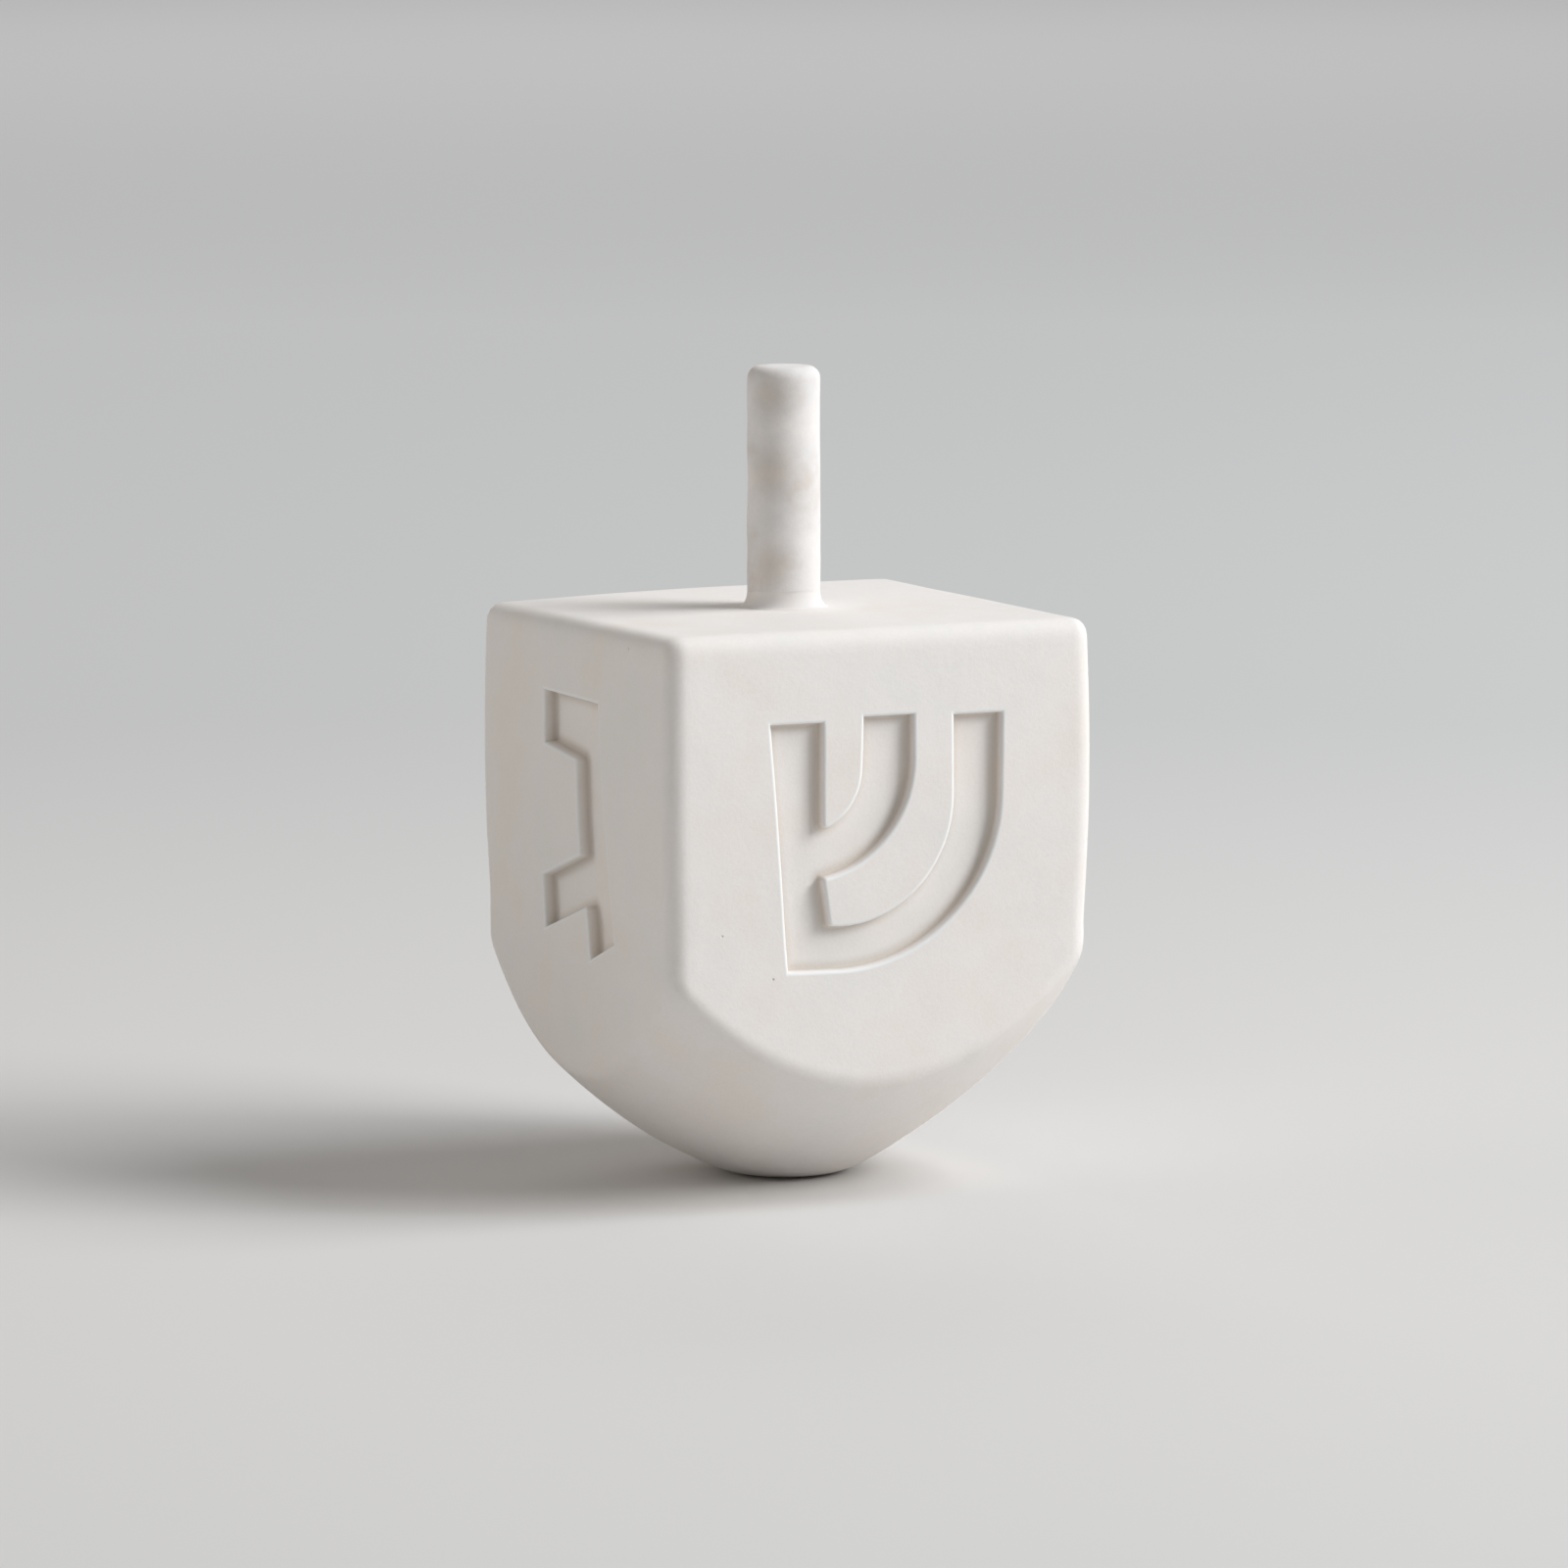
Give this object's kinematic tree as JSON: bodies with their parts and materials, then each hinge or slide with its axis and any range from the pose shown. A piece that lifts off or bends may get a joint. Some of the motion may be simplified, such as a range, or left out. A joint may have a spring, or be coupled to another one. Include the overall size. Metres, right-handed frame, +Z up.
{
  "type": "dreidel",
  "caption": "Square-bodied spinning top with a domed base that ends in a small flat foot, a round finger stem, and a sunk traditional game letter on each side face.",
  "frame": {"origin": "middle of the flat foot that the dreidel stands on", "axes": "+Z up along the stem, the axis that it spins about; -Y towards the face with the letter shin, -X towards the face with the letter gimel"},
  "size_m": [0.041, 0.041, 0.0714],
  "materials": {
    "bisque_body": "unglazed slip-cast bisque, sponged smooth, matt with a fine grain, faint clouds of tone and a few pinholes",
    "bisque_stem": "unglazed bisque, rolled and sponged smooth, matt",
    "bisque_plug": "unglazed bisque, rubbed flat and a little polished where it stands and spins",
    "fired_slip": "fired slip, wiped smooth, matt"
  },
  "bodies": {
    "root": {"body": "bisque_body", "stem": "bisque_stem", "stem_slip": "fired_slip", "foot_plug": "bisque_plug", "plug_slip": "fired_slip"}
  },
  "joints": []
}
